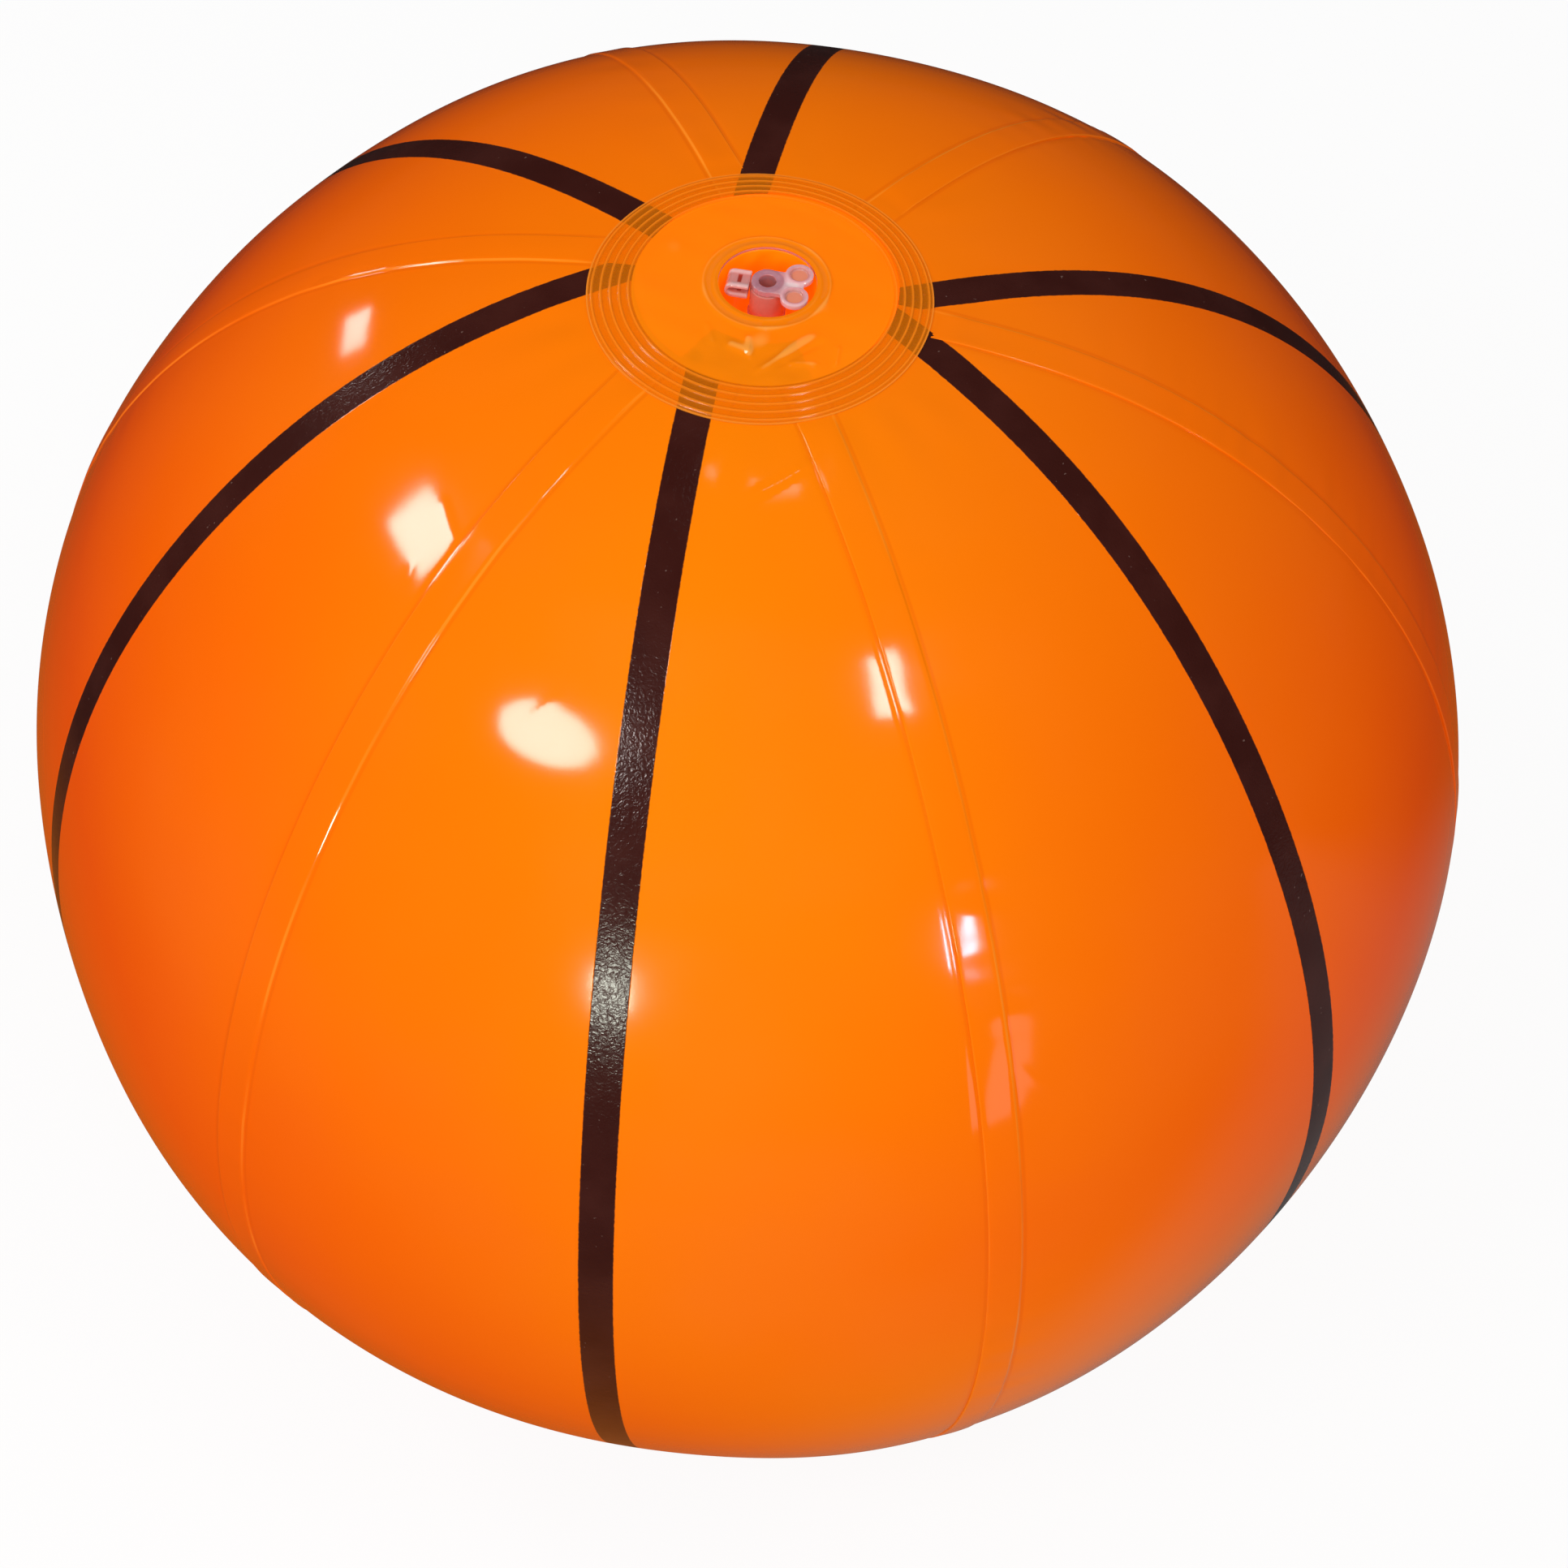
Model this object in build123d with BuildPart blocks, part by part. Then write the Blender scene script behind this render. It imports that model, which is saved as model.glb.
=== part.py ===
"""Inflatable beach ball with a push-in valve.

Millimetres. Origin at the centre of the ball, +Z along the pole axis towards the valve.
Front gore is centred on -Y. The six gores are PVC film, welded edge over edge along the
meridian seams, and closed at both poles by round patches. The valve is a clear moulding:
flange, turn-out cup, blow stem, check flap, and a stopper on a strap.
"""
import os
from math import asin, cos, degrees, radians, sin

from build123d import *

# ---------------------------------------------------------------- driving dimensions
# Ball
ball_radius = 200.0          # outside radius at the equator
pole_flat = 0.064            # share of the radius by which each pole is flattened
pole_flat_power = 10         # how sharply the flattening sets in towards the pole
gore_count = 6
film = 0.25                  # wall of the PVC film
lap_width = 8.5              # weld overlap of one gore on the next
step_angle = 0.4             # turn of the edge that steps up to the lap, degrees
weld_gap = 0.05              # between two films that are welded face to face
profile_steps = 40           # points on a meridian

# Poles
patch_radius = 42.0
patch_film = 0.25
tip_radius = 32.0            # where a gore's tip ends under the patch
long_tip_radius = 20.0       # front gore's tip under the valve patch
ridge_count = 5              # concentric weld ridges round a patch
ridge_pitch = 2.1
ridge_height = 0.25
ridge_width = 0.9
ridge_inset = 0.8            # outermost ridge to the patch's edge

# Valve moulding
well_radius = 12.0           # mouth of the well in the patch
flange_radius = 15.8
flange_thickness = 0.8
cup_wall = 0.5
cup_depth = 11.0             # flange to the bottom of the cup
cup_floor_radius = 10.4      # where the cup's wall meets its rolled floor
cup_stem_gap = 0.1           # cup to stem
stem_bore_radius = 3.05
stem_wall = 1.20
stem_length = 19.0
stem_drop = 1.8              # mouth of the stem below the patch
collar_depth = 8.2           # root of the cup, below the stem's mouth
collar_height = 1.6
collar_width = 0.5

# Check flap
flap_thickness = 0.6
flap_gap = 0.15              # flap to the stem's inner end
lug_reach = 1.3              # hinge lug past the stem's wall
lug_width = 3.0
lug_height = 3.0

# Stopper
plug_clearance = 0.08        # nose to bore, radial
nose_length = 7.0
nose_taper = 0.5
head_radius = 4.0
head_height = 1.7
seat_gap = 0.15              # head to the stem's mouth
plug_hollow_radius = 2.1
plug_hollow_depth = 7.0
tab_lobe_radius = 3.45
tab_lobe_reach = 7.2         # lobe centres from the valve axis
tab_lobe_spacing = 7.6       # between the two lobe centres
tab_thickness = 1.4
dish_radius = 2.2
dish_depth = 0.7

# Strap
strap_width = 6.0
strap_thickness = 0.7
strap_gap = 0.2              # strap ends to head and stem
strap_reach = 8.3            # valve axis to the start of the strap's fold
strap_fold_radius = 1.5


os.makedirs("parts", exist_ok=True)


# ---------------------------------------------------------------- crown surface
def crown_point(colatitude, lift):
    """Meridian point (radius, height) at an angle from the pole, a lift above the film's outside."""
    along = cos(radians(colatitude))
    reach = ball_radius * (1 - pole_flat * abs(along) ** pole_flat_power) + lift
    return (reach * sin(radians(colatitude)), reach * along)


def colatitude_at(radius):
    """Angle from the pole at which the crown has this radius, found by a few corrections."""
    angle = degrees(asin(radius / ball_radius))
    for _ in range(20):
        angle = degrees(asin(radius * sin(radians(angle)) / crown_point(angle, 0)[0]))
    return angle


def meridian(start, end, lift):
    """Points along the crown from one colatitude to another."""
    span = (end - start) / profile_steps
    return [crown_point(start + span * i, lift) for i in range(profile_steps + 1)]


pole_height = crown_point(0, 0)[1]
patch_low = weld_gap
patch_high = patch_low + patch_film
mouth_height = pole_height + patch_high


def crown_band(start, end, low, high, turn=0.0):
    """Face between two lifts over the crown, from one colatitude to another, turned about the pole axis."""
    with BuildSketch(Plane.XZ) as band:
        with BuildLine():
            outer = Spline(*meridian(start, end, high))
            inner = Spline(*meridian(start, end, low))
            Line(outer @ 0, inner @ 0)
            Line(outer @ 1, inner @ 1)
        make_face()
    return band.sketch.rotate(Axis.Z, turn)


# ---------------------------------------------------------------- gores
# A gore is a lune of film. Along its left edge a strip steps up over its neighbour, which is the weld.
gore_angle = 360 / gore_count
lap_end = colatitude_at(patch_radius + patch_film)
lap_low = weld_gap
lap_high = lap_low + film
base_tip_angle = 180 - colatitude_at(tip_radius)

with BuildPart() as lap_strip:
    revolve(crown_band(lap_end, 180 - lap_end, lap_low, lap_high, -gore_angle / 2), Axis.Z, gore_angle / 2)
    with Locations((ball_radius, -lap_width / 2, 0)):
        Box(3 * ball_radius, lap_width, 3 * ball_radius, mode=Mode.INTERSECT)

gore_shapes = []
for top_tip in (long_tip_radius, tip_radius):
    with BuildPart() as gore:
        revolve(crown_band(colatitude_at(top_tip), base_tip_angle, -film, 0), Axis.Z, gore_angle)
        revolve(crown_band(lap_end, 180 - lap_end, -film, lap_high), Axis.Z, step_angle)
        add(lap_strip.part)
    gore_shapes.append(gore.part)

for number in range(1, gore_count + 1):
    shape = gore_shapes[0] if number == 1 else gore_shapes[1]
    turned = shape.rotate(Axis.Z, -90 - gore_angle / 2 + (number - 1) * gore_angle)
    turned.label = f"gore_{number}"
    export_step(turned, f"parts/gore_{number}.step")

# ---------------------------------------------------------------- patches
# A film disc over the gore tips, with rings pressed up by the welding tool. The valve's has a hole.
ridge_radii = [patch_radius - ridge_inset - ridge_width / 2 - i * ridge_pitch for i in range(ridge_count)]


def ridged_patch(hole_radius):
    """Patch for the valve pole, from the radius of its hole to its rim."""
    rim = colatitude_at(patch_radius)
    with BuildPart() as patch:
        revolve(crown_band(colatitude_at(hole_radius) if hole_radius else 0.0, rim, patch_low, patch_high), Axis.Z)
        for radius in ridge_radii:
            inner = colatitude_at(radius - ridge_width / 2)
            outer = colatitude_at(radius + ridge_width / 2)
            revolve(crown_band(inner, outer, patch_low, patch_high + ridge_height), Axis.Z)
    return patch.part


valve_patch = ridged_patch(well_radius)
valve_patch.label = "valve_patch"
export_step(valve_patch, "parts/valve_patch.step")

base_patch = ridged_patch(0).rotate(Axis.X, 180)
base_patch.label = "base_patch"
export_step(base_patch, "parts/base_patch.step")

# ---------------------------------------------------------------- valve flange
flange_high = patch_low - weld_gap
flange_low = flange_high - flange_thickness
with BuildPart() as flange:
    revolve(
        crown_band(colatitude_at(well_radius), colatitude_at(flange_radius), flange_low, flange_high),
        Axis.Z,
    )
flange.part.label = "valve_flange"
export_step(flange.part, "parts/valve_flange.step")

# ---------------------------------------------------------------- stem
# Heights below follow down the pole axis from the patch's outside.
stem_radius = stem_bore_radius + stem_wall
stem_top = mouth_height - stem_drop
stem_bottom = stem_top - stem_length
collar_top = stem_top - collar_depth
collar_radius = stem_radius + collar_width
lug_centre = stem_radius + lug_reach / 2 - stem_wall / 2
with BuildPart() as stem:
    with BuildSketch(Plane.XY.offset(stem_bottom)):
        Circle(stem_radius)
    extrude(amount=stem_length)
    with BuildSketch(Plane.XY.offset(collar_top - collar_height)):
        Circle(collar_radius)
    extrude(amount=collar_height)
    with BuildSketch(Plane.XY.offset(stem_bottom)):
        with Locations((lug_centre, 0)):
            Rectangle(lug_reach + stem_wall, lug_width)
    extrude(amount=lug_height)
    with BuildSketch(Plane.XY.offset(stem_bottom)):
        Circle(stem_bore_radius)
    extrude(amount=stem_length, mode=Mode.SUBTRACT)
stem.part.label = "valve_stem"
export_step(stem.part, "parts/valve_stem.step")

# ---------------------------------------------------------------- cup
# Wall of the well: down from the flange, round a rolled floor and in to the stem's collar.
cup_top = crown_point(colatitude_at(well_radius), flange_low)[1]
cup_bottom = cup_top - cup_depth
cup_root = collar_radius + cup_stem_gap
cup_rise = collar_top - collar_height / 2
with BuildPart() as cup:
    with BuildSketch(Plane.XZ):
        with BuildLine():
            side = Line(
                (well_radius + cup_wall / 2, cup_top - weld_gap - cup_wall / 2),
                (cup_floor_radius, cup_bottom + (cup_floor_radius - cup_root) / 2),
            )
            TangentArc(side @ 1, (cup_root + cup_wall / 2, cup_rise), tangent=side % 1)
            offset(amount=cup_wall / 2, side=Side.BOTH)
        make_face()
    revolve(axis=Axis.Z)
cup.part.label = "valve_cup"
export_step(cup.part, "parts/valve_cup.step")

# ---------------------------------------------------------------- check flap
flap_high = stem_bottom - flap_gap
hinge_reach = lug_centre + (lug_reach + stem_wall) / 2
with BuildPart() as flap:
    with BuildSketch(Plane.XY.offset(flap_high - flap_thickness)):
        Circle(stem_radius)
        with Locations((hinge_reach / 2, 0)):
            Rectangle(hinge_reach, lug_width)
    extrude(amount=flap_thickness)
flap.part.label = "check_flap"
export_step(flap.part, "parts/check_flap.step")

# ---------------------------------------------------------------- stopper
# Hollow plug with a tapered nose, a round head on the stem's mouth, and a two-lobed pull tab.
nose_radius = stem_bore_radius - plug_clearance
head_low = stem_top + seat_gap
head_high = head_low + head_height
with BuildPart() as stopper:
    with BuildSketch(Plane.XY.offset(head_low)):
        Circle(head_radius)
    extrude(amount=head_height)
    with BuildSketch(Plane.XY.offset(head_low)):
        Circle(nose_radius)
    extrude(amount=-nose_length)
    chamfer(stopper.edges().group_by(Axis.Z)[0], nose_taper)
    with BuildSketch(Plane.XY.offset(head_high - tab_thickness)):
        with Locations((tab_lobe_reach, tab_lobe_spacing / 2), (tab_lobe_reach, -tab_lobe_spacing / 2)):
            Circle(tab_lobe_radius)
        with Locations((tab_lobe_reach / 2, 0)):
            Rectangle(tab_lobe_reach + tab_lobe_radius, tab_lobe_spacing)
    extrude(amount=tab_thickness)
    with BuildSketch(Plane.XY.offset(head_high)):
        with Locations((tab_lobe_reach, tab_lobe_spacing / 2), (tab_lobe_reach, -tab_lobe_spacing / 2)):
            Circle(dish_radius)
    extrude(amount=-dish_depth, mode=Mode.SUBTRACT)
    with BuildSketch(Plane.XY.offset(head_high)):
        Circle(plug_hollow_radius)
    extrude(amount=-plug_hollow_depth, mode=Mode.SUBTRACT)
stopper.part.label = "stopper"
export_step(stopper.part, "parts/stopper.step")

# ---------------------------------------------------------------- strap
# Leaves the head opposite the tab, folds under itself and runs back to the stem.
strap_high = head_high - (head_height - strap_thickness) / 2 - strap_thickness / 2
strap_low = strap_high - 2 * strap_fold_radius
strap_end = strap_gap + strap_thickness / 2
with BuildPart() as strap:
    with BuildSketch(Plane.XZ.offset(-strap_width / 2)):
        with BuildLine():
            upper = Line((-head_radius - strap_end, strap_high), (-strap_reach, strap_high))
            fold = TangentArc(upper @ 1, (-strap_reach, strap_low), tangent=upper % 1)
            Line(fold @ 1, (-stem_radius - strap_end, strap_low))
            offset(amount=strap_thickness / 2, side=Side.BOTH)
        make_face()
    extrude(amount=strap_width)
strap.part.label = "stopper_strap"
export_step(strap.part, "parts/stopper_strap.step")
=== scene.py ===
"""Looks of an inflatable beach ball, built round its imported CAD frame. Metres, +Z out through the valve."""

from math import cos, pi, radians, sin, sqrt

import bmesh
import bpy
import numpy as np
from mathutils import Matrix, Vector


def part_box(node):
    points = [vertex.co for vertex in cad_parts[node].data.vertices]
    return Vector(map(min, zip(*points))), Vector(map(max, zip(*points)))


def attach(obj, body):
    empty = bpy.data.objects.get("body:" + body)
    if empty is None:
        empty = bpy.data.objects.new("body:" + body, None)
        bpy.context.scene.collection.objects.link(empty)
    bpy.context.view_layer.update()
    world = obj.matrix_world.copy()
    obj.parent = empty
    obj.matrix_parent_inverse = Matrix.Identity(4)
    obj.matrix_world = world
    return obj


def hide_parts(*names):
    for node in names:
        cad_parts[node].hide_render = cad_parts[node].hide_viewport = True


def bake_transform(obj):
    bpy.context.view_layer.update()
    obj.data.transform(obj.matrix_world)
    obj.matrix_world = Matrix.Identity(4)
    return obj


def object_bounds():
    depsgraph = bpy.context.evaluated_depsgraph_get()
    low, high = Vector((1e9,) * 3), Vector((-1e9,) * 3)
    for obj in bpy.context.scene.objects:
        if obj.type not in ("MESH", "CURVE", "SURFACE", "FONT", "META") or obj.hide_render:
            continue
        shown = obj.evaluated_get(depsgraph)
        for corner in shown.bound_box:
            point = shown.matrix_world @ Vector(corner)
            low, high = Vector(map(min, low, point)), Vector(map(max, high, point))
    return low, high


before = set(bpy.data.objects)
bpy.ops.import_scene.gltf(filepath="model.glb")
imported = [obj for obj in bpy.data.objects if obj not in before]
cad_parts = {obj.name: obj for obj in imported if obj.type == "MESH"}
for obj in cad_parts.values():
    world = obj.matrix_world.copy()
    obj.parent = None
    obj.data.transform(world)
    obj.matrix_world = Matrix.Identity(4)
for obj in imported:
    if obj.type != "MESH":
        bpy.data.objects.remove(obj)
cad_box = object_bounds()

# ------------------------------------------------------------------ Gores
# Six lunes of printed orange PVC film. Each one's left edge laps over its neighbour and is welded there in a
# band, so a seam shows two lines: the cut edge of the lap, and the crease where the film steps down again.
GORES = 6
GORE_ANGLE = 2 * pi / GORES
FILM = 0.00025
LAP_LIFT = 0.0003            # outside of the lap over the film it is welded to
LAP_WIDTH = 0.0085
STEP = 0.0008                # width of the crease at the seam
LIP = 0.00045                # width of the rounded cut edge of the lap
BALL_RADIUS = cad_box[1][0] - LAP_LIFT
PATCH_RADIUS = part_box("valve_patch")[1][0]
PATCH_LIFT = 0.0003          # outside of a patch over the film
POLE_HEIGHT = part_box("valve_patch")[1][2] - PATCH_LIFT
POLE_POWER = 10              # how sharply the crown flattens towards the poles
BETWEEN_SEAMS = 0.0097       # share of the radius by which a gore lies flatter at its middle
TIP_RADIUS = 0.032           # where a gore's tip is cut off, under the patch
LONG_TIP_RADIUS = 0.020      # the same at the top of the front gore, which reaches further in

# Heights of the unevenness of the blown-up film, each spread by its own formula in make_gore.
PILLOW = 0.00011             # bulge along the middle of the lap, or hollow on every second one
PUCKER = 0.00008             # small puckers that the weld draws up beside itself
SLACK = 0.00014              # slow waves over the whole gore
GATHER = 0.00022             # radial gathers just outside the patch
PRESSED = 0.00009            # groove that the weld leaves beside the cut edge
PULL_REACH = 0.010           # how far from a seam the puckers fade
GATHER_REACH = 0.022         # how far from the patch the gathers fade
GROOVE = 0.0007              # half width of the groove, and its distance from the cut edge


def crown_radius(colat):
    """Distance of the skin from the centre: the radius, less a share that grows as a power of the cosine."""
    flat = 1 - POLE_HEIGHT / BALL_RADIUS
    return BALL_RADIUS * (1 - flat * np.abs(np.cos(colat)) ** POLE_POWER)


def colat_at(radius):
    """Angle from the pole where the crown is this far from the axis, read back from a table of the crown."""
    table = np.linspace(0, pi / 2, 2000)
    return np.interp(radius, crown_radius(table) * np.sin(table), table)


def ripple(x, y, seed, size, count=14):
    """Smooth unevenness from -1 to 1: a sum of plane waves with random directions, lengths and phases."""
    chance = np.random.default_rng(seed)
    heading = chance.uniform(0, pi, count)
    wave = 2 * pi / (size * chance.uniform(0.6, 1.8, count))
    phase = chance.uniform(0, 2 * pi, count)
    shape = (..., None)
    waves = np.sin(wave * (x[shape] * np.cos(heading) + y[shape] * np.sin(heading)) + phase)
    return waves.sum(-1) / sqrt(count)


def ease(value, low, high):
    """0 below low, 1 above high, and a smooth S between them."""
    share = np.clip((value - low) / (high - low), 0, 1)
    return share * share * (3 - 2 * share)


def skin_point(colat, angle, lift):
    """Point of the ball: the crown's distance, less the flattening between seams, plus a lift, outwards."""
    between = (1 + np.cos(GORES * angle)) / 2
    reach = crown_radius(colat) - BALL_RADIUS * BETWEEN_SEAMS * np.sin(colat) ** 2 * between + lift
    flat = reach * np.sin(colat)
    return np.stack([flat * np.sin(angle), -flat * np.cos(angle), reach * np.cos(colat)], -1)


def film_mesh(name, outer, inner, keep, layers):
    """Closed film from two grids of points: the kept cells of both, and walls along every open edge.

    layers maps a UV layer's name to a grid of pairs. The inside faces take the second material.
    """
    rows, cols = outer.shape[:2]
    index = np.arange(rows * cols).reshape(rows, cols)
    cell = np.stack([index[:-1, :-1], index[1:, :-1], index[1:, 1:], index[:-1, 1:]], -1)
    over = np.pad(keep, 1)
    across = over[1:, 1:-1] != over[:-1, 1:-1]
    along = over[1:-1, 1:] != over[1:-1, :-1]
    r, c = np.nonzero(across)
    down, right = np.nonzero(along)
    first = np.concatenate([index[r, c], index[down + 1, right]])
    second = np.concatenate([index[r, c + 1], index[down, right]])
    swap = ~np.concatenate([over[1:, 1:-1][r, c], over[1:-1, 1:][down, right]])
    first, second = np.where(swap, second, first), np.where(swap, first, second)
    shift = rows * cols
    faces = np.concatenate([
        cell[keep],
        cell[keep][:, ::-1] + shift,
        np.stack([first, second, second + shift, first + shift], -1),
    ])
    inside = np.zeros(len(faces), bool)
    inside[keep.sum():2 * keep.sum()] = True
    used, faces = np.unique(faces, return_inverse=True)
    faces = faces.reshape(-1, 4)
    points = np.concatenate([outer.reshape(-1, 3), inner.reshape(-1, 3)])[used]
    mesh = bpy.data.meshes.new(name)
    mesh.vertices.add(len(points))
    mesh.vertices.foreach_set("co", points.ravel())
    mesh.loops.add(faces.size)
    mesh.loops.foreach_set("vertex_index", faces.ravel())
    mesh.polygons.add(len(faces))
    mesh.polygons.foreach_set("loop_start", np.arange(0, faces.size, 4))
    mesh.polygons.foreach_set("material_index", inside.astype(np.int32))
    mesh.update(calc_edges=True)
    for layer, grid in layers.items():
        pairs = np.concatenate([grid.reshape(-1, 2)] * 2)[used][faces.ravel()]
        mesh.uv_layers.new(name=layer).data.foreach_set("uv", pairs.ravel())
    mesh.polygons.foreach_set("use_smooth", np.ones(len(faces), bool))
    mesh.set_sharp_from_angle(angle=radians(50))
    mesh.validate()
    piece = bpy.data.objects.new(name, mesh)
    bpy.context.scene.collection.objects.link(piece)
    return piece


# Each gore's printed band runs a little off the gore's middle and on a slant: its offset to the right of the
# middle at the equator, and how much that changes towards the pole by slant and by bow.
BAND_WIDTH = 0.0087
BANDS = {
    1: (-0.0020, -0.0055, -0.0028),
    2: (-0.0033, 0.0033, 0.0121),
    3: (-0.0188, 0.0030, 0.0005),
    4: (0.0013, 0.0017, 0.0072),
    5: (-0.0080, 0.0144, -0.0043),
    6: (-0.0023, -0.0088, -0.0057),
}

# A few sharp folds where the film has been creased: gore, then the two ends as degrees from the valve and
# millimetres from the gore's left seam, then height and half width in millimetres.
FOLDS = (
    (6, (29.2, 80.0), (30.7, 95.0), 0.15, 0.8),
    (6, (33.6, 98.0), (34.9, 104.0), 0.06, 0.8),
    (1, (36.2, 33.5), (38.6, 31.0), 0.07, 0.8),
    (1, (19.3, 42.5), (16.6, 50.5), 0.30, 1.0),
    (1, (59.0, 173.0), (62.5, 188.0), 0.07, 1.1),
    (2, (61.5, 1.5), (64.5, 11.0), 0.07, 1.1),
)


def fold_over(x, y, first, last, height, half, before, inside):
    """A bell across the straight line from first to last, all in metres.

    It rises along the line from a share before the first end to a share inside it, and dies out likewise.
    """
    way = np.subtract(last, first)
    length = np.hypot(*way)
    run = ((x - first[0]) * way[0] + (y - first[1]) * way[1]) / length ** 2
    side = ((x - first[0]) * way[1] - (y - first[1]) * way[0]) / length
    fade = ease(run, -before, inside) * ease(-run, -1 - before, inside - 1)
    return height * np.exp(-(side / half) ** 2) * fade


def folds_on(number, colat, across):
    """Sum of the gore's folds."""
    total = np.zeros(across.shape)
    for gore, first, last, height, half in FOLDS:
        if gore == number:
            ends = [(radians(degrees) * BALL_RADIUS, mm / 1000) for degrees, mm in (first, last)]
            total += fold_over(
                colat * BALL_RADIUS, across, *ends, height / 1000, half / 1000, before=0.15, inside=0.10)
    return total


GORE_ROWS = 420
GORE_COLUMNS = 150
CLOSER_AT_SEAMS = 0.09       # how far the columns crowd towards the two seams


def make_gore(number):
    """One gore: rows from tip to tip, columns from the lap's cut edge, over the crease, to the far seam."""
    top_tip = LONG_TIP_RADIUS if number == 1 else TIP_RADIUS
    rows = np.linspace(colat_at(top_tip), pi - colat_at(TIP_RADIUS), GORE_ROWS)
    lip = LIP * (1 - np.cos(np.linspace(0, pi / 2, 7)))
    lap = np.concatenate([lip - LAP_WIDTH, np.linspace(LIP - LAP_WIDTH, 0, 9)[1:]])
    crease = np.linspace(0, STEP, 6)[1:]
    share = np.linspace(0, 1, GORE_COLUMNS)[1:]
    share = share - CLOSER_AT_SEAMS * np.sin(2 * pi * share)
    colat = rows[:, None]
    around = crown_radius(colat) * np.sin(colat)
    width = around * GORE_ANGLE
    near = np.broadcast_to(np.concatenate([lap, crease]), (len(rows), len(lap) + len(crease)))
    across = np.concatenate([near, STEP + (width - STEP) * share], 1)
    colat = np.broadcast_to(colat, across.shape)
    start = (number - 1.5) * GORE_ANGLE
    angle = start + across / around
    along = colat * BALL_RADIUS
    on_lap = (across <= 0) & (around > PATCH_RADIUS)

    # The lap: a rounded cut edge, full thickness, then down over the crease; nothing of it under the patch.
    from_cut = np.clip((across + LAP_WIDTH) / LIP, 0, 1)
    lip_part = 0.15 + 0.85 * np.sqrt(1 - (1 - from_cut) ** 2)
    lap_part = ease(-across, -STEP, 0) * lip_part * ease(around, PATCH_RADIUS + 0.001, PATCH_RADIUS + 0.006)
    uneven = 0.6 + 0.4 * ripple(along, 0 * along, seed=20 + number, size=0.05)
    pillow = np.sin(pi * np.clip(-across / LAP_WIDTH, 0, 1)) * uneven * (-1) ** number

    # Puckers fade over about 10 mm from a seam and come and go along it; slack waves cover the whole gore.
    from_seam = np.minimum(np.abs(across - STEP), np.abs(width - across))
    pull = np.exp(-(from_seam / PULL_REACH) ** 2) * ease(around, 0.045, 0.080)
    busy = 0.5 + 0.5 * ripple(along, 0 * along, seed=number, size=0.09)
    pucker = ripple(along, 0.35 * across, seed=40 + number, size=0.011) * pull * np.clip(busy, 0, 1.6)
    slack = ripple(along, across, seed=80 + number, size=0.10) * ease(around, 0.05, 0.09)

    # Gathers run outwards from the patch, and a groove runs along the far seam's cut edge.
    toward_patch = np.exp(-((around - PATCH_RADIUS) / GATHER_REACH) ** 2)
    toward_patch = toward_patch * ease(around, PATCH_RADIUS, PATCH_RADIUS + 0.012)
    gather = ripple(angle * 0.05, 0.1 * along, seed=7, size=0.012) * toward_patch
    beside_lap = width - across - LAP_WIDTH - GROOVE
    pressed = np.exp(-(beside_lap / GROOVE) ** 2)
    pressed = pressed * ease(around, PATCH_RADIUS + 0.004, PATCH_RADIUS + 0.012)

    lift = (LAP_LIFT + PILLOW * pillow) * lap_part + PUCKER * pucker + SLACK * slack + GATHER * gather
    lift = lift + folds_on(number, colat, across) - PRESSED * pressed
    outer = skin_point(colat, angle, lift)
    inner = skin_point(colat, angle, lift - FILM)

    off, slant, bow = BANDS[number]
    rise = np.cos(colat)
    middle = width / 2 + off + slant * rise + bow * rise * np.abs(rise) ** 3
    layers = {
        "band": np.stack([across - middle, along], -1),
        "weld": np.stack([across, width - across], -1),
    }
    keep = np.ones((across.shape[0] - 1, across.shape[1] - 1), bool)
    keep[:, :len(lap) - 1] = on_lap[:-1, :1]
    return film_mesh(f"gore_{number}_film", outer, inner, keep, layers)


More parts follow.
